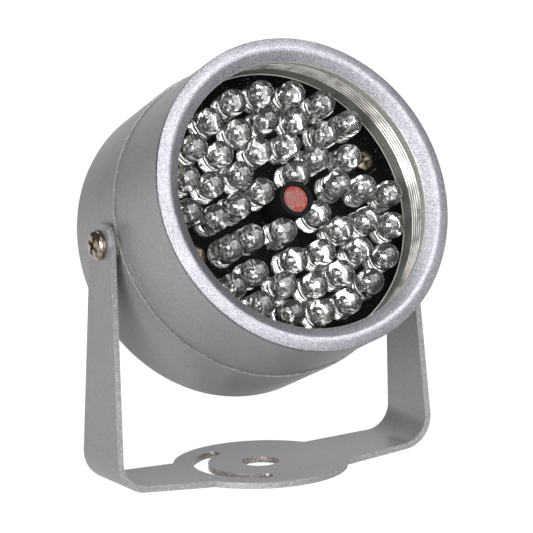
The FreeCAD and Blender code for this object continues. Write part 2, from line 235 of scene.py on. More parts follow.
def new_tree(name, *inputs):
    """A new Geometry Nodes tree with named inputs, a finish last. Returns the tree and its inputs."""
    tree = bpy.data.node_groups.new(name, "GeometryNodeTree")
    for label, kind in (*inputs, ("Finish", "Material")):
        tree.interface.new_socket(label, in_out="INPUT", socket_type="NodeSocket" + kind)
    tree.interface.new_socket("Result", in_out="OUTPUT", socket_type="NodeSocketGeometry")
    return tree, add(tree, "NodeGroupInput").outputs


def finished(tree, geometry, finish):
    """The tree with its end: what it made becomes real geometry and gets its finish."""
    real = add(tree, "GeometryNodeRealizeInstances", {"Geometry": geometry})
    coated = add(tree, "GeometryNodeSetMaterial", {
        "Geometry": real.outputs["Geometry"], "Material": finish})
    add(tree, "NodeGroupOutput", {"Result": coated.outputs["Geometry"]})
    return tree


def section_turner():
    """Geometry Nodes: rounds the corners of a drawn section and turns it once round the z axis."""
    tree, given = new_tree("turn_section", ("Section", "Geometry"), ("Path Radius", "Float"),
                           ("Facets", "Int"), ("Corner Steps", "Int"))
    outline = add(tree, "GeometryNodeMeshToCurve", {"Mesh": given["Section"]})
    rounding = add(tree, "GeometryNodeInputNamedAttribute", {"Name": "rounding"}, data_type="FLOAT")
    rounded = add(tree, "GeometryNodeFilletCurve", {
        "Curve": outline.outputs["Curve"], "Count": given["Corner Steps"],
        "Radius": rounding.outputs["Attribute"], "Limit Radius": True}, mode="POLY")
    path = add(tree, "GeometryNodeCurvePrimitiveCircle", {
        "Resolution": given["Facets"], "Radius": given["Path Radius"]})
    swept = add(tree, "GeometryNodeCurveToMesh", {
        "Curve": path.outputs["Curve"], "Profile Curve": rounded.outputs["Curve"]})
    merged = add(tree, "GeometryNodeMergeByDistance", {
        "Geometry": swept.outputs["Mesh"], "Distance": 0.0005})
    return finished(tree, merged.outputs["Geometry"], given["Finish"])


def run_tree(name, mesh, tree, inputs):
    """A plain piece from a mesh and a Geometry Nodes tree with the given named inputs."""
    maker = link(name + "_maker", mesh)
    nodes = maker.modifiers.new("nodes", "NODES")
    nodes.node_group = tree
    for item in tree.interface.items_tree:
        if item.in_out == "INPUT" and item.name in inputs:
            nodes[item.identifier] = inputs[item.name]
    return plain(name, maker)


def settle(piece, place, smooth=sharp_angle):
    """Moves a piece's mesh to its place, turns its faces outwards and shades its curves smooth."""
    piece.data.transform(place)
    shape = bmesh.new()
    shape.from_mesh(piece.data)
    bmesh.ops.recalc_face_normals(shape, faces=shape.faces)
    shape.to_mesh(piece.data)
    shape.free()
    piece.data.shade_smooth()
    piece.data.set_sharp_from_angle(angle=math.radians(smooth))
    return piece


turn_section = section_turner()


def turned(name, section, finish, place, facets=turn_facets, steps=4, closed=True):
    """A turned piece. The section is (radius, z, rounding) points in millimetres. An open section
    starts and ends on the axis."""
    path_radius = max(radius for radius, z, rounding in section)
    mesh = bpy.data.meshes.new(name + "_section")
    edges = [(i, i + 1) for i in range(len(section) - 1)]
    if closed:
        edges.append((len(section) - 1, 0))
    mesh.from_pydata([(radius - path_radius, -z, 0) for radius, z, rounding in section], edges, [])
    mesh.attributes.new("rounding", "FLOAT", "POINT").data.foreach_set(
        "value", [rounding for radius, z, rounding in section])
    piece = run_tree(name, mesh, turn_section, {
        "Path Radius": path_radius, "Facets": facets, "Corner Steps": steps, "Finish": finish})
    return settle(piece, place)


def side_bar(radius, low, high):
    """A pair of round bars along the tilt axis, one on each side of the lamp."""
    shape = bmesh.new()
    for way in (-1, 1):
        place = (Matrix.Rotation(math.radians(90 * way), 4, "Y")
                 @ Matrix.Translation((0, 0, (low + high) / 2)))
        bmesh.ops.create_cone(shape, cap_ends=True, segments=64, radius1=radius, radius2=radius,
                              depth=high - low, matrix=place)
    return link("side_bar", drawn("side_bar", shape))


def combined(piece, tool, operation):
    """The plain result of joining a piece and a tool, or of cutting the tool out of the piece."""
    name = piece.name
    piece.name = name + "_before"
    step = piece.modifiers.new("tool", "BOOLEAN")
    step.operation = operation
    step.solver = "EXACT"
    step.object = tool
    result = plain(name, piece)
    bpy.data.objects.remove(tool)
    return result


# Fine paint on the castings gives a soft grey sheen. The forward face of the cup's rim is painted
# darker, as painted shade, so that the seam reads as a thin dark line.
housing_paint = silver_paint("silver_paint_on_castings", "#676667", "#7b797b", "#878588",
                             flake=0.14, depth=0.010, surface={"Metallic": 0.6, "Roughness": 0.45})
rim_shade_paint = silver_paint("thin_paint_on_cup_rim", "#4f4e50", "#666667", "#838284",
                         flake=0.2, depth=0.01, surface={"Metallic": 0.6, "Roughness": 0.5})
draft = (cup_rim_radius - cup_back_radius) / (seam - cup_floor_back)
rear_cup = turned("rear_cup_casting", [
    (cup_hole_radius, cup_floor_back, cup_hole_round), (cup_back_radius, cup_floor_back, cup_back_round),
    (cup_rim_radius - draft * (seam + seat_band), -seat_band, 0.0),
    (cup_rim_radius - draft * (seam - seat_band / 2), seat_band / 2, 0.0),
    (cup_rim_radius, seam, cup_rim_round), (groove_radius + groove_width, seam, 0.0),
    (groove_radius + groove_width, seam - groove_depth, 0.0), (groove_radius, seam - groove_depth, 0.0),
    (groove_radius, seam, 0.0), (cup_mouth_radius, seam, 0.0), (cup_mouth_radius, cup_mouth_floor, 0.0),
    (cup_bore_radius, cup_mouth_floor, 0.0), (cup_bore_radius, cup_floor_front, 0.0),
    (cup_hole_radius, cup_floor_front, 0.0)], housing_paint, unmoved)
rear_cup = combined(rear_cup, side_bar(seat_radius, cup_mouth_radius + seat_root, seat_face), "UNION")
rear_cup = combined(rear_cup, side_bar(side_hole_radius, cup_bore_radius / 2, seat_face + drill_excess),
                    "DIFFERENCE")
settle(rear_cup, lamp)
rear_cup.data.materials.append(rim_shade_paint)
# Painted shade: the rim's forward-facing faces take the darker paint, to darken the seam.
for face in rear_cup.data.polygons:
    if -face.normal.dot(backward) > rim_facing and (into_lamp @ face.center).z > seam / 2:
        face.material_index = 1
dressed(rear_cup, "head", "housing_paint", "rear_cup")


# Seam seal: a flat ring punched from black rubber sheet, which keeps the rain out. It is squeezed
# between the cup and the barrel, and the closed housing hides it.
def black_rubber(name, grain):
    """Matt black rubber: soft highlights and a fine pitted skin. The grain is in millimetres."""
    material, tree, shader = new_finish(name, {
        "Base Color": linear("#1b1b1c"), "Roughness": 0.72, "IOR": 1.52})
    place = add(tree, "ShaderNodeTexCoord").outputs["Object"]
    pits = add(tree, "ShaderNodeTexNoise", {"Vector": place, "Scale": metre / grain, "Detail": 3.0})
    bump = add(tree, "ShaderNodeBump", {
        "Height": pits.outputs["Fac"], "Strength": 0.5, "Distance": 0.02 / metre})
    tree.links.new(bump.outputs["Normal"], shader.inputs["Normal"])
    return material


def refinish(node, material):
    """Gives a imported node's own mesh a finish."""
    piece = frame["nodes"][node]
    piece.data.materials.clear()
    piece.data.materials.append(material)


refinish("seam_seal", black_rubber("sealing_rubber", grain=0.3))


# Front barrel: the second casting, a tube that fills the cup's mouth and is tapped for the ring. It
# has the cup's paint outside. The bore behind the ring is painted lighter and greener than the
# outside: painted light, which lifts the shade that falls there under the ring's lip.
barrel_bore_radius = 26.6
barrel_bore_margin = 0.02
barrel_edge_radius = 0.00005  # metres

barrel = softened("front_barrel_casting", welded("front_barrel"), barrel_edge_radius)
bore_lightening_paint = silver_paint("thin_paint_in_bore", "#6d6e6a", "#7f817c", "#90928c",
                          flake=0.25, depth=0.006, surface={"Metallic": 0.5, "Roughness": 0.5})
barrel.data.materials.append(housing_paint)
barrel.data.materials.append(bore_lightening_paint)
# Painted light: faces in the bore take the lighter paint, against the shade under the ring's lip.
for face in barrel.data.polygons:
    centre = into_lamp @ face.center
    in_bore = math.hypot(centre.x, centre.y) < barrel_bore_radius + barrel_bore_margin
    face.material_index = 1 if in_bore else 0
dressed(barrel, "head", "housing_paint", "front_barrel")


# Front ring: turned from aluminium tube. Its face rises gently from the side to a rounded crest and
# falls more steeply to a thin lip round the opening. Its coarse paint sparkles, partly with painted glints.
ring_face = 20.9
ring_radius = 30.0
ring_side = 0.74
ring_outer_slope = 16.0
ring_inner_slope = 28.0
ring_crest_round = 1.6
ring_lip_radius = 25.5
ring_lip_round = 0.3
ring_lip_edge = 21.2
ring_lip_back = 20.2
ring_lip_back_round = 0.08
ring_lit_band = 0.12
ring_spigot_radius = 27.9
ring_spigot_end = 17.1
ring_spigot_round = 0.05
ring_edge_round = 0.15

# Coarse flake on a dark ground, with painted glints among it, gives the ring its glitter. The lip and
# the bore are lighter and warmer: a painted highlight along the lip, and painted light in the shaded bore.
ring_paint = silver_paint("coarse_flake_paint_on_ring", "#434348", "#828287", "#8e8e94",
                          flake=0.13, depth=0.06, surface={"Metallic": 0.95, "Roughness": 0.37})
ring_lip_and_bore_lightening = silver_paint("bare_bore_of_ring", "#7c7b76", "#94938e", "#b8b7b1",
                         flake=0.2, depth=0.02, surface={"Metallic": 0.6, "Roughness": 0.5})
side_end = (ring_radius, ring_face + ring_side)
lip_start = (ring_lip_radius + ring_lip_round, ring_lip_edge)
rise_in, rise_out = (math.tan(math.radians(slope)) for slope in (ring_inner_slope, ring_outer_slope))
crest_inset = (side_end[1] - lip_start[1] + (side_end[0] - lip_start[0]) * rise_out) / (rise_in + rise_out)
ring = turned("front_ring_bezel", [
    (barrel_bore_radius, ring_spigot_end, ring_spigot_round),
    (ring_spigot_radius, ring_spigot_end, ring_spigot_round),
    (ring_spigot_radius, ring_face, 0.0), (ring_radius, ring_face, ring_edge_round),
    (*side_end, ring_edge_round),
    (lip_start[0] + crest_inset, lip_start[1] + crest_inset * rise_in, ring_crest_round),
    (ring_lip_radius, lip_start[1] - ring_lip_round * rise_in, ring_lip_round),
    (ring_lip_radius, ring_lip_back, ring_lip_back_round),
    (barrel_bore_radius, ring_lip_back, 0.0)], ring_paint, lamp, steps=6)
ring.data.materials.append(ring_lip_and_bore_lightening)
# Painted light: faces at the lip (worn) and in the bore (bare) take the lighter finish, a painted highlight on the
# lip and painted light in the shaded bore.
for face in ring.data.polygons:
    centre = into_lamp @ face.center
    radius = math.hypot(centre.x, centre.y)
    worn = radius < ring_lip_radius + ring_lit_band
    bare = radius < barrel_bore_radius + ring_lit_band and centre.z < ring_face
    face.material_index = 1 if worn or bare else 0
dressed(ring, "head", "ring_paint", "front_ring")


# Thread inside the ring: fine ridges of bare metal under its lip, cut for a filter that isn't
# fitted. They show as a few bright lines across the upper right of the opening.
thread_low = 13.5
thread_pitch = 0.8
thread_turns = 5.0
thread_depth = 0.25
thread_root = 0.05
thread_start = 200.0
thread_sharp_angle = 50.0


def uneven_metal(name, bright, dull, roughness, grain, metallic=1.0):
    """Bare or plated metal: clouds of dull tarnish in a bright skin. The dull parts are also the
    rougher ones, so highlights break up. The grain, in millimetres, is the size of the clouds."""
    smoothest, roughest = roughness * 0.7, roughness * 1.5
    material, tree, shader = new_finish(name, {"Metallic": metallic})
    place = add(tree, "ShaderNodeTexCoord").outputs["Object"]
    cloud = add(tree, "ShaderNodeTexNoise", {"Vector": place, "Scale": metre / grain, "Detail": 4.0})
    share = add(tree, "ShaderNodeMapRange", {
        "Value": cloud.outputs["Fac"], "From Min": 0.4, "From Max": 0.68})
    tint = add(tree, "ShaderNodeMix", {
        0: share.outputs[0], 6: linear(bright), 7: linear(dull)}, data_type="RGBA")
    tree.links.new(tint.outputs[2], shader.inputs["Base Color"])
    rough = add(tree, "ShaderNodeMapRange", {
        "Value": cloud.outputs["Fac"], "To Min": smoothest, "To Max": roughest})
    tree.links.new(rough.outputs[0], shader.inputs["Roughness"])
    return material


def thread_cutter():
    """Geometry Nodes: winds a round ridge along a spiral of constant radius."""
    tree, given = new_tree("wind_thread", ("Radius", "Float"), ("Turns", "Float"), ("Pitch", "Float"),
                           ("Depth", "Float"), ("Low", "Float"), ("Facets", "Int"))
    height = add(tree, "ShaderNodeMath", {0: given["Turns"], 1: given["Pitch"]}, operation="MULTIPLY")
    spiral = add(tree, "GeometryNodeCurveSpiral", {
        "Resolution": given["Facets"], "Rotations": given["Turns"], "Start Radius": given["Radius"],
        "End Radius": given["Radius"], "Height": height.outputs[0]})
    ridge = add(tree, "GeometryNodeCurvePrimitiveCircle", {"Resolution": 10, "Radius": given["Depth"]})
    swept = add(tree, "GeometryNodeCurveToMesh", {
        "Curve": spiral.outputs["Curve"], "Profile Curve": ridge.outputs["Curve"], "Fill Caps": True})
    lift = add(tree, "ShaderNodeCombineXYZ", {"Z": given["Low"]})
    raised = add(tree, "GeometryNodeTransform", {
        "Geometry": swept.outputs["Mesh"], "Translation": lift.outputs["Vector"]})
    return finished(tree, raised.outputs["Geometry"], given["Finish"])


cut_metal = uneven_metal("cut_aluminium", "#c6c4be", "#74726d", roughness=0.32, grain=3.0)
thread = run_tree("ring_thread", bpy.data.meshes.new("no_thread"), thread_cutter(), {
    "Radius": barrel_bore_radius + thread_root, "Turns": thread_turns, "Pitch": thread_pitch,
    "Depth": thread_depth, "Low": thread_low, "Facets": 160, "Finish": cut_metal})
settle(thread, lamp @ Matrix.Rotation(math.radians(thread_start), 4, "Z"), thread_sharp_angle)
dressed(thread, "head", "ring_paint")


# Emitter board: a round glass-epoxy board, copper clad and covered with black solder resist. The
# resist is a thin and nearly matt skin with pale specks of dust and flux.
resist_radius = 26.15
rim_blur = 0.05


def lamp_place(tree):
    """Object coordinates turned into the lamp's own frame, in millimetres."""
    place = add(tree, "ShaderNodeTexCoord").outputs["Object"]
    return add(tree, "ShaderNodeMapping", {
        "Vector": place, "Location": into_lamp.translation,
        "Rotation": (-lamp.to_euler().x, 0, 0), "Scale": (metre, metre, metre)},
        vector_type="POINT").outputs["Vector"]


def solder_resist():
    """Black solder resist: near black and nearly matt, with a few pale specks 0.2 mm across. It
    stops short of the board's rim, where the pale glass epoxy shows as a thin line. Scales are in
    patches for each millimetre, and the specks' sizes are shares of a patch."""
    speck_edge, speck_core = 0.24, 0.12
    material, tree, shader = new_finish("black_solder_resist", {
        "Roughness": 0.5, "Specular IOR Level": 0.02})
    place = lamp_place(tree)
    specks = add(tree, "ShaderNodeTexVoronoi", {"Vector": place, "Scale": 1.7})
    near = add(tree, "ShaderNodeMapRange", {
        "Value": specks.outputs["Distance"], "From Min": speck_edge, "From Max": speck_core})
    some = add(tree, "ShaderNodeTexNoise", {"Vector": place, "Scale": 0.5, "Detail": 1.0})
    where = add(tree, "ShaderNodeMapRange", {
        "Value": some.outputs["Fac"], "From Min": 0.4, "From Max": 0.7})
    share = add(tree, "ShaderNodeMath", {0: near.outputs[0], 1: where.outputs[0]}, operation="MULTIPLY")
    skin = add(tree, "ShaderNodeMix", {
        0: share.outputs[0], 6: linear("#050605"), 7: linear("#53554f")}, data_type="RGBA")
    flat = add(tree, "ShaderNodeVectorMath", {0: place, 1: (1, 1, 0)}, operation="MULTIPLY")
    reach = add(tree, "ShaderNodeVectorMath", {0: flat.outputs["Vector"]}, operation="LENGTH")
    bare = add(tree, "ShaderNodeMapRange", {
        "Value": reach.outputs["Value"], "From Min": resist_radius, "From Max": resist_radius + rim_blur})
    colour = add(tree, "ShaderNodeMix", {
        0: bare.outputs[0], 6: skin.outputs[2], 7: linear("#94968e")}, data_type="RGBA")
    tree.links.new(colour.outputs[2], shader.inputs["Base Color"])
    weave = add(tree, "ShaderNodeTexNoise", {"Vector": place, "Scale": 2.5, "Detail": 2.0})
    bump = add(tree, "ShaderNodeBump", {
        "Height": weave.outputs["Fac"], "Strength": 0.4, "Distance": 0.03 / metre})
    tree.links.new(bump.outputs["Normal"], shader.inputs["Normal"])
    return material


refinish("emitter_board", solder_resist())


# Parts soldered to the back of the board: resistors with colour bands, a moulded transistor and
# diode, and a nylon connector for the supply. The closed housing hides them.
resistor_middle = 9.0
band_spacing = 2.4
band_edge, band_core = 0.26, 0.2


def moulded(name, colour, roughness, gloss=0.5):
    """Moulded plastic: one colour with a faint cloud in it and a slightly rough skin, so it reads
    dull and even. The cloud's and the skin's grain are in millimetres."""
    cloud_grain, skin_grain, skin_depth = 2.5, 0.25, 0.01
    material, tree, shader = new_finish(name, {
        "Roughness": roughness, "IOR": 1.5, "Specular IOR Level": gloss})
    place = add(tree, "ShaderNodeTexCoord").outputs["Object"]
    cloud = add(tree, "ShaderNodeTexNoise", {
        "Vector": place, "Scale": metre / cloud_grain, "Detail": 3.0})
    darker, lighter = ([part * share for part in linear(colour)[:3]] + [1.0] for share in (0.8, 1.2))
    tint = add(tree, "ShaderNodeMix", {0: cloud.outputs["Fac"], 6: darker, 7: lighter}, data_type="RGBA")
    tree.links.new(tint.outputs[2], shader.inputs["Base Color"])
    skin = add(tree, "ShaderNodeTexNoise", {
        "Vector": place, "Scale": metre / skin_grain, "Detail": 2.0})
    bump = add(tree, "ShaderNodeBump", {
        "Height": skin.outputs["Fac"], "Strength": 0.4, "Distance": skin_depth / metre})
    tree.links.new(bump.outputs["Normal"], shader.inputs["Normal"])
    return material


def banded_coat():
    """Pale blue resistor lacquer, smooth and glossy, with three dark bands across its length."""
    material, tree, shader = new_finish("resistor_lacquer", {"Roughness": 0.35, "IOR": 1.5})
    along = add(tree, "ShaderNodeSeparateXYZ", {"Vector": lamp_place(tree)}).outputs["Y"]
    shift = add(tree, "ShaderNodeMath", {0: along, 1: resistor_middle + band_spacing},
                operation="SUBTRACT")
    wave = add(tree, "ShaderNodeMath", {0: shift.outputs[0], 1: band_spacing / 2}, operation="PINGPONG")
    band = add(tree, "ShaderNodeMapRange", {
        "Value": wave.outputs[0], "From Min": band_edge, "From Max": band_core})
    colour = add(tree, "ShaderNodeMix", {
        0: band.outputs[0], 6: linear("#8fa9b8"), 7: linear("#43291c")}, data_type="RGBA")
    tree.links.new(colour.outputs[2], shader.inputs["Base Color"])
    return material


refinish("string_resistors", banded_coat())
refinish("switch_transistor", moulded("moulding_epoxy_transistor", "#202123", roughness=0.5))
refinish("polarity_diode", moulded("moulding_epoxy_diode", "#18191a", roughness=0.45))
refinish("supply_connector", moulded("nylon_connector", "#d9d6c9", roughness=0.4))


# Emitters: infrared diodes in water-clear epoxy lenses, 5 mm across, soldered in four rings with
# their flats to the middle. Each leans a little, as it was set by hand.
board_front = 11.0
lens_radius = 2.5
lens_height = 7.2
lens_flange_radius = 2.65
lens_flange_height = 1.0
lens_base_round = 0.06
lens_flange_round = 0.12
lens_flat = 2.45
lens_base_gap = 0.03
dome_step = 9
dish_section = ((0, 2.9, 0.0), (0.48, 2.9, 0.0), (0.78, 3.65, 0.02), (0.68, 3.65, 0.02),
                (0.32, 3.2, 0.0), (0, 3.2, 0.0))
anvil_outline = ((-1.55, 0.0), (-1.0, 0.0), (-1.0, 1.7), (0.35, 2.4), (0.35, 2.95), (-1.35, 2.95),
                 (-1.55, 2.6))
post_outline = ((1.0, 0.0), (1.5, 0.0), (1.6, 2.0), (1.6, 3.2), (1.35, 3.55), (0.8, 3.3), (0.7, 2.2),
                (1.0, 1.8))
frame_half_thickness = 0.2
chip_half = 0.17
chip_low, chip_high = 3.2, 3.4
wire_arch = [(0.0, 3.4), (0.1, 3.75), (0.5, 3.95), (0.9, 3.75), (1.1, 3.4)]
wire_thickness = 0.05
emitter_lean = 1.1
emitter_seed = 7
# Each ring's name and radius, and its runs of emitters: first angle, step and count.
emitter_rings = (
    ("inner", 5.9, ((62.0, 90.0, 4),)),
    ("second", 11.03, ((12.0, 33.0, 7), (259.4, 33.0, 3))),
    ("third", 16.16, ((3.5, 22.5, 16),)),
    ("outer", 21.29, ((39.8, 17.3, 9), (222.0, 17.0, 9))),
)


def emitter_placer():
    """Geometry Nodes: stands a piece at each marked angle round a ring, with a small random lean."""
    tree, given = new_tree("stand_in_ring", ("Marks", "Geometry"), ("Piece", "Object"),
                           ("Ring Radius", "Float"), ("Height", "Float"), ("Lean", "Float"), ("Seed", "Int"))
    angle = add(tree, "GeometryNodeInputNamedAttribute", {"Name": "angle"},
                data_type="FLOAT").outputs["Attribute"]
    across = add(tree, "ShaderNodeMath", {0: angle}, operation="COSINE")
    up = add(tree, "ShaderNodeMath", {0: angle}, operation="SINE")
    outward = add(tree, "ShaderNodeCombineXYZ", {"X": across.outputs[0], "Y": up.outputs[0]})
    spread = add(tree, "ShaderNodeVectorMath", {0: outward.outputs[0], "Scale": given["Ring Radius"]},
                 operation="SCALE")
    rise = add(tree, "ShaderNodeCombineXYZ", {"Z": given["Height"]})
    place = add(tree, "ShaderNodeVectorMath", {0: spread.outputs[0], 1: rise.outputs[0]})
    marks = add(tree, "GeometryNodeSetPosition", {
        "Geometry": given["Marks"], "Position": place.outputs[0]})
    chance = add(tree, "FunctionNodeRandomValue", {
        0: (-1, -1, 0), 1: (1, 1, 0), "ID": add(tree, "GeometryNodeInputIndex").outputs[0],
        "Seed": given["Seed"]}, data_type="FLOAT_VECTOR")
    tilt = add(tree, "ShaderNodeVectorMath", {0: chance.outputs[0], "Scale": given["Lean"]},
               operation="SCALE")
    turn = add(tree, "ShaderNodeCombineXYZ", {"Z": angle})
    way = add(tree, "ShaderNodeVectorMath", {0: tilt.outputs[0], 1: turn.outputs[0]})
    rotation = add(tree, "FunctionNodeEulerToRotation", {"Euler": way.outputs[0]})
    model = add(tree, "GeometryNodeObjectInfo", {"Object": given["Piece"], "As Instance": True})
    standing = add(tree, "GeometryNodeInstanceOnPoints", {
        "Points": marks.outputs["Geometry"], "Instance": model.outputs["Geometry"],
        "Rotation": rotation.outputs["Rotation"]})
    return finished(tree, standing.outputs["Instances"], given["Finish"])


def ring_marks(runs):
    """One point for each emitter, which carries its angle round the ring."""
    angles = [math.radians(first + step * index)
              for first, step, count in runs for index in range(count)]
    mesh = bpy.data.meshes.new("marks")
    mesh.from_pydata([(0, 0, 0)] * len(angles), [], [])
    mesh.attributes.new("angle", "FLOAT", "POINT").data.foreach_set("value", angles)
    return mesh


def plate(shape, outline, half_thickness):
    """Adds a flat stamped plate to a bmesh. Its outline is (x, z) points, and it lies along y."""
    near = [shape.verts.new((x, -half_thickness, z)) for x, z in outline]
    far = [shape.verts.new((x, half_thickness, z)) for x, z in outline]
    shape.faces.new(near)
    shape.faces.new(far[::-1])
    for i in range(len(outline)):
        j = (i + 1) % len(outline)
        shape.faces.new((near[i], far[i], far[j], near[j]))


def lens_model():
    """One lens: a flange with a flat, a round body and a domed end."""
    body_end = lens_height - lens_radius
    turns = [math.radians(angle) for angle in range(0, 90, dome_step)]
    dome = [(lens_radius * math.cos(turn), body_end + lens_radius * math.sin(turn), 0.0)
            for turn in turns]
    piece = turned("lens_model", [
        (0, lens_base_gap, 0.0), (lens_flange_radius, lens_base_gap, lens_base_round),
        (lens_flange_radius, lens_flange_height, lens_flange_round),
        (lens_radius, lens_flange_height, 0.0), *dome, (0, lens_height, 0.0)],
        None, unmoved, facets=40, steps=2, closed=False)
    for corner in piece.data.vertices:
        if corner.co.z <= lens_flange_height and corner.co.x < -lens_flat:
            corner.co.x = -lens_flat
    return piece


def lead_frame_model():
    """The stamped frame inside a lens: a dish on an anvil, and a post beside it."""
    dish = turned("dish_model", dish_section, None, unmoved, facets=20, steps=1, closed=False)
    shape = bmesh.new()
    shape.from_mesh(dish.data)
    bpy.data.objects.remove(dish)
    plate(shape, anvil_outline, frame_half_thickness)
    plate(shape, post_outline, frame_half_thickness)
    return settle(link("lead_frame_model", drawn("lead_frame_model", shape)), unmoved)


def chip_model():
    """The diode's chip on the floor of its dish, and the fine wire from it to the post."""
    shape = bmesh.new()
    plate(shape, [(-chip_half, chip_low), (chip_half, chip_low), (chip_half, chip_high),
                  (-chip_half, chip_high)], chip_half)
    underside = [(x, z - wire_thickness) for x, z in wire_arch[::-1]]
    plate(shape, wire_arch + underside, wire_thickness / 2)
    return settle(link("chip_model", drawn("chip_model", shape)), unmoved)


def clear_resin(name, surface, clear, cloudy, grain, roughness, wave):
    """Clear resin, cast or moulded: a gloss with a faint haze. Slight waves in its skin break up what
    is seen through it. The grain and the height of the waves are in millimetres."""
    material, tree, shader = new_finish(name, {"IOR": 1.53, **surface})
    place = add(tree, "ShaderNodeTexCoord").outputs["Object"]
    haze = add(tree, "ShaderNodeTexNoise", {"Vector": place, "Scale": metre / grain, "Detail": 4.0})
    tint = add(tree, "ShaderNodeMix", {
        0: haze.outputs["Fac"], 6: linear(clear), 7: linear(cloudy)}, data_type="RGBA")
    tree.links.new(tint.outputs[2], shader.inputs["Base Color"])
    gloss = add(tree, "ShaderNodeMapRange", {"Value": haze.outputs["Fac"], "To Max": roughness})
    tree.links.new(gloss.outputs[0], shader.inputs["Roughness"])
    bump = add(tree, "ShaderNodeBump", {
        "Height": haze.outputs["Fac"], "Strength": 0.4, "Distance": wave / metre})
    tree.links.new(bump.outputs["Normal"], shader.inputs["Normal"])
    return material


def stamped_plate():
    """Silver-plated lead frame: bright, with dark patches and dents from stamping, so each lens
    shows its own pattern of glints. The sizes of the patches and dents are in millimetres."""
    patch, dent, dent_depth = 0.35, 0.3, 0.3
    material, tree, shader = new_finish("silver_plated_lead_frame", {"Metallic": 1.0})
    place = add(tree, "ShaderNodeTexCoord").outputs["Object"]
    cloud = add(tree, "ShaderNodeTexNoise", {"Vector": place, "Scale": metre / patch, "Detail": 3.0})
    share = add(tree, "ShaderNodeMapRange", {
        "Value": cloud.outputs["Fac"], "From Min": 0.34, "From Max": 0.54})
    tint = add(tree, "ShaderNodeMix", {
        0: share.outputs[0], 6: linear("#d4d4d3"), 7: linear("#303032")}, data_type="RGBA")
    tree.links.new(tint.outputs[2], shader.inputs["Base Color"])
    rough = add(tree, "ShaderNodeMapRange", {
        "Value": cloud.outputs["Fac"], "To Min": 0.2, "To Max": 0.45})
    tree.links.new(rough.outputs[0], shader.inputs["Roughness"])
    dents = add(tree, "ShaderNodeTexNoise", {"Vector": place, "Scale": metre / dent, "Detail": 2.0})
    bump = add(tree, "ShaderNodeBump", {
        "Height": dents.outputs["Fac"], "Strength": 1.0, "Distance": dent_depth / metre})
    tree.links.new(bump.outputs["Normal"], shader.inputs["Normal"])
    return material


clear_epoxy = clear_resin("water_clear_epoxy", {"Transmission Weight": 0.982}, "#f2f2f0", "#cececa",
                          grain=0.8, roughness=0.008, wave=0.02)
silver_plate = stamped_plate()
diode_crystal = uneven_metal("dark_diode_crystal", "#2a211c", "#4a3d35",
                             roughness=0.3, grain=0.15, metallic=0.3)
placer = emitter_placer()
models = (("lenses", lens_model(), clear_epoxy, "emitter_lens"),
          ("frames", lead_frame_model(), silver_plate, "nickel_plate"),
          ("chips", chip_model(), diode_crystal, "moulded_black"))
for number, (ring_name, circle, runs) in enumerate(emitter_rings):
    for kind, model, finish, slot in models:
        group = run_tree(ring_name + "_emitter_" + kind, ring_marks(runs), placer, {
            "Piece": model, "Ring Radius": circle, "Height": board_front,
            "Lean": math.radians(emitter_lean), "Seed": emitter_seed + number, "Finish": finish})
        group.data.transform(lamp)
        dressed(group, "head", slot, *(["emitters_" + ring_name] if kind == "lenses" else []))
for kind, model, finish, slot in models:
    bpy.data.objects.remove(model)


# Photocell: a red cadmium sulphide disc under clear lacquer with a folded electrode, in a black
# moulded sleeve that keeps the emitters' own light off it. It switches the lamp on at dusk.
cell_face = 17.8
cell_radius = 2.5
track_pitch = 0.52
track_width = 0.17
track_thickness = 0.04
track_corner = track_pitch / 2 * 0.98
track_reach = 1.45
track_turns = 7
track_margin = 0.35


def track_layer():
    """Geometry Nodes: rounds the corners of a drawn line and lays a flat ribbon along it."""
    tree, given = new_tree("lay_track", ("Line", "Geometry"), ("Width", "Float"), ("Thickness", "Float"),
                           ("Corner", "Float"))
    line = add(tree, "GeometryNodeMeshToCurve", {"Mesh": given["Line"]})
    bent = add(tree, "GeometryNodeFilletCurve", {
        "Curve": line.outputs["Curve"], "Count": 5, "Radius": given["Corner"], "Limit Radius": True},
        mode="POLY")
    level = add(tree, "GeometryNodeSetCurveNormal", {"Curve": bent.outputs["Curve"]}, mode="Z_UP")
    ribbon = add(tree, "GeometryNodeCurvePrimitiveQuadrilateral", {
        "Width": given["Width"], "Height": given["Thickness"]}, mode="RECTANGLE")
    swept = add(tree, "GeometryNodeCurveToMesh", {
        "Curve": level.outputs["Curve"], "Profile Curve": ribbon.outputs["Curve"], "Fill Caps": True})
    return finished(tree, swept.outputs["Mesh"], given["Finish"])


def folded_line():
    """A line up and down the face of the cell, each run as long as the disc allows."""
    points = []
    for turn in range(track_turns):
        x = (turn - (track_turns - 1) / 2) * track_pitch
        reach = min(track_reach, math.sqrt((cell_radius - track_margin) ** 2 - x * x))
        ends = (-reach, reach) if turn % 2 == 0 else (reach, -reach)
        points += [(x, end, cell_face) for end in ends]
    mesh = bpy.data.meshes.new("folded_line")
    mesh.from_pydata(points, [(i, i + 1) for i in range(len(points) - 1)], [])
    return mesh


def sulphide_layer():
    """Red cadmium sulphide under lacquer: a deep red with greyer clouds where the layer is thin,
    and a weak gloss. Its scale is in patches for each millimetre."""
    material, tree, shader = new_finish("cadmium_sulphide_under_lacquer", {
        "Roughness": 0.5, "IOR": 1.5, "Specular IOR Level": 0.15,
        "Coat Weight": 0.03, "Coat Roughness": 0.2})
    cloud = add(tree, "ShaderNodeTexNoise", {
        "Vector": lamp_place(tree), "Scale": 0.75, "Detail": 4.0, "Roughness": 0.6})
    share = add(tree, "ShaderNodeMapRange", {
        "Value": cloud.outputs["Fac"], "From Min": 0.46, "From Max": 0.6})
    colour = add(tree, "ShaderNodeMix", {
        0: share.outputs[0], 6: linear("#5d110e"), 7: linear("#473933")}, data_type="RGBA")
    tree.links.new(colour.outputs[2], shader.inputs["Base Color"])
    return material


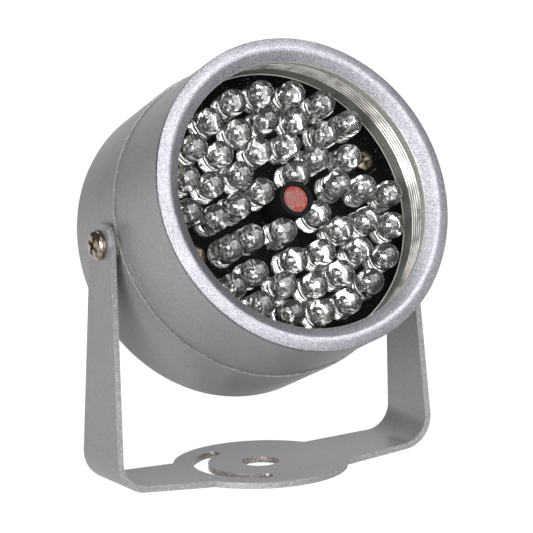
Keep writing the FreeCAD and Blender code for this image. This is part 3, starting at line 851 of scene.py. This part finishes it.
refinish("photocell", sulphide_layer())
electrode = uneven_metal("indium_electrode", "#614a44", "#503631",
                         roughness=0.45, grain=0.5, metallic=0.4)
track = run_tree("photocell_track", folded_line(), track_layer(), {
    "Width": track_width, "Thickness": track_thickness, "Corner": track_corner, "Finish": electrode})
settle(track, lamp)
dressed(track, "head", "photocell_red")
refinish("photocell_shroud", moulded("moulded_sleeve", "#050505", roughness=0.7, gloss=0.06))


# Screws: pan heads with a cross recess. Two nickel-plated ones are the tilt axis, and two small
# steel ones, browned by the heat of soldering, hold the board in the gaps of the outer ring.
side_screw_seat = 32.81
side_screw_turn = 38.0
board_screw_circle = 20.89
board_screw_angles = (19.5, 199.5)


def cut_cross(piece, length, width, depth, top, place):
    """Cuts a cross recess that narrows to its floor into the head of a screw."""
    floor_share, flare_share, flare_rise = 0.45, 1.12, 0.5
    shape = bmesh.new()
    rings = []
    for z, share in ((top - depth, floor_share), (top, 1.0), (top + flare_rise, flare_share)):
        long, wide = length / 2 * share, width / 2 * (0.5 + share / 2)
        corner = ((long, wide), (wide, wide), (wide, long))
        outline = []
        for quarter in range(4):
            turn = Matrix.Rotation(math.radians(90 * quarter), 2)
            outline += [turn @ Vector(point) for point in corner]
        rings.append([shape.verts.new((point.x, point.y, z)) for point in outline])
    shape.faces.new(rings[0])
    shape.faces.new(rings[-1])
    for low, high in zip(rings, rings[1:]):
        for i in range(len(low)):
            j = (i + 1) % len(low)
            shape.faces.new((low[i], low[j], high[j], high[i]))
    cutter = settle(link("cross_cutter", drawn("cross_cutter", shape)), place)
    return settle(combined(piece, cutter, "DIFFERENCE"), unmoved)


def pan_screw(name, shank, length, head, height, finish, place):
    """A screw whose head sits on z = 0, in millimetres, moved to its place. The tip's taper, the
    head's shoulder and the cross are shares of the screw's own sizes."""
    tip_share, tip_rise, shoulder_round, head_round = 0.75, 0.25, 0.12, 0.06
    dome_share, dome_power, dome_start, dome_step = 0.97, 0.8, 12, 6
    cross_length, cross_width, cross_depth = 1.5, 0.3, 0.42
    edge = height * 0.5
    rise = height - edge
    turns = [math.radians(angle) for angle in range(dome_start, 90, dome_step)]
    dome = [(head * dome_share * math.cos(turn), edge + rise * math.sin(turn) ** dome_power, 0.0)
            for turn in turns]
    screw = turned(name, [
        (0, -length, 0.0), (shank * tip_share, -length, 0.0), (shank, shank * tip_rise - length, 0.0),
        (shank, 0, 0.0), (head, 0, head_round), (head, edge, shoulder_round), *dome, (0, height, 0.0)],
        finish, place, facets=48, steps=2, closed=False)
    return cut_cross(screw, head * cross_length, head * cross_width, height * cross_depth, height, place)


# Nickel gives sharp warm glints among darker patches. The browned steel is duller and darker.
nickel = uneven_metal("nickel_plated_steel", "#a2968c", "#5c4a3e", roughness=0.17, grain=1.1)
browned = uneven_metal("browned_board_screw", "#5d564b", "#25211a", roughness=0.28, grain=0.8)
for side, way in (("left", -1), ("right", 1)):
    place = (lamp @ Matrix.Rotation(math.radians(90 * way), 4, "Y")
             @ Matrix.Translation((0, 0, side_screw_seat))
             @ Matrix.Rotation(math.radians(side_screw_turn), 4, "Z"))
    screw = pan_screw(side + "_side_screw", shank=1.5, length=6.81, head=2.8, height=1.5,
                      finish=nickel, place=place)
    dressed(screw, "head", "nickel_plate", *(["side_screws"] if way == 1 else []))
for number, degrees in enumerate(board_screw_angles):
    turn = math.radians(degrees)
    seat = (board_screw_circle * math.cos(turn), board_screw_circle * math.sin(turn), board_front)
    place = lamp @ Matrix.Translation(seat) @ Matrix.Rotation(turn, 4, "Z")
    screw = pan_screw("board_screw_" + str(number), shank=1.0, length=5.5, head=2.1, height=1.3,
                      finish=browned, place=place)
    dressed(screw, "head", "board_screw_steel", *(["board_screws"] if number == 0 else []))


# Washers and grommet: the washers are clear nylon, frosted by its mould, and hold the tilt by
# friction. The grommet is soft black rubber that grips the edge of the cable's hole.
refinish("side_washers", clear_resin("clear_nylon", {"Transmission Weight": 0.9}, "#cfd0cc", "#b4b5b1",
                                     grain=1.2, roughness=0.5, wave=0.02))
refinish("cable_grommet", black_rubber("grommet_rubber", grain=0.4))


# Studio: a pale floor that runs far back, a dim sky all round, six soft boxes and a lit panel
# behind, which shows in the base.
floor_half = 3.0
sky_strength = 0.12
middle = (0.0, 0.0, 0.04)

floor_mesh = bpy.data.meshes.new("floor")
floor_mesh.from_pydata([(-floor_half, -floor_half, 0), (floor_half, -floor_half, 0),
                        (floor_half, floor_half, 0), (-floor_half, floor_half, 0)], [], [(0, 1, 2, 3)])
floor = link("floor", floor_mesh)
# Matt paper, lit from below so that it reads as white as the backdrop of a catalogue photograph.
pale_paper = new_finish("pale_floor", {
    "Base Color": linear("#3c3c3c"), "Roughness": 0.9, "Emission Color": linear("#ffffff"),
    "Emission Strength": 0.95})[0]
floor.data.materials.append(pale_paper)

world = bpy.data.worlds.new("studio")
bpy.context.scene.world = world
world.use_nodes = True
world.node_tree.nodes["Background"].inputs["Color"].default_value = linear("#ffffff")
world.node_tree.nodes["Background"].inputs["Strength"].default_value = sky_strength
bpy.context.scene.view_settings.view_transform = "Standard"


def soft_box(name, width, height, power, place):
    """A rectangular lamp that faces the middle of the part. Sizes in metres and power in watts."""
    lamp_data = bpy.data.lights.new(name, "AREA")
    lamp_data.shape = "RECTANGLE"
    lamp_data.size, lamp_data.size_y, lamp_data.energy = width, height, power
    box = bpy.data.objects.new(name, lamp_data)
    box.location = place
    box.rotation_euler = (Vector(place) - Vector(middle)).to_track_quat("Z", "Y").to_euler()
    bpy.context.scene.collection.objects.link(box)


soft_box("front_box", width=0.90, height=0.75, power=12.6, place=(0.02, -0.60, 0.61))
soft_box("right_box", width=0.50, height=0.50, power=2.2, place=(0.58, -0.46, 0.32))
soft_box("low_box", width=0.60, height=0.25, power=2.9, place=(0.05, -0.70, 0.17))
soft_box("left_box", width=0.55, height=0.40, power=14.6, place=(-0.61, -0.37, 0.13))
soft_box("top_box", width=0.35, height=0.30, power=1.8, place=(0.36, -0.30, 0.60))
soft_box("back_panel", width=1.20, height=0.50, power=1.8, place=(0.46, 0.81, 0.30))
soft_box("rear_box", width=0.60, height=0.40, power=1.4, place=(0.10, 0.55, 0.85))


# Camera: at the photograph's place, which was worked out from the bracket's corners. It stands at a
# distance from a point near the middle of the part, turned, raised and rolled by three angles.
view_turn, view_rise, view_roll = (math.radians(angle) for angle in (-29.339, 11.303, -1.638))
view_target = Vector((0.01018, 0.013554, 0.035711))
view_distance = 0.7744
back_way = Vector((math.sin(view_turn) * math.cos(view_rise), -math.cos(view_turn) * math.cos(view_rise),
                   math.sin(view_rise)))
right_way = Vector((math.cos(view_turn), math.sin(view_turn), 0))
up_way = back_way.cross(right_way)
rolled_right = math.cos(view_roll) * right_way + math.sin(view_roll) * up_way
rolled_up = math.cos(view_roll) * up_way - math.sin(view_roll) * right_way
camera = bpy.data.objects.new("camera", bpy.data.cameras.new("camera"))
camera.data.lens = 270.17
camera.data.sensor_width = 36.0
camera.matrix_world = Matrix.Translation(view_target + back_way * view_distance) @ Matrix(
    (rolled_right, rolled_up, back_way)).transposed().to_4x4()
bpy.context.scene.collection.objects.link(camera)
bpy.context.scene.camera = camera
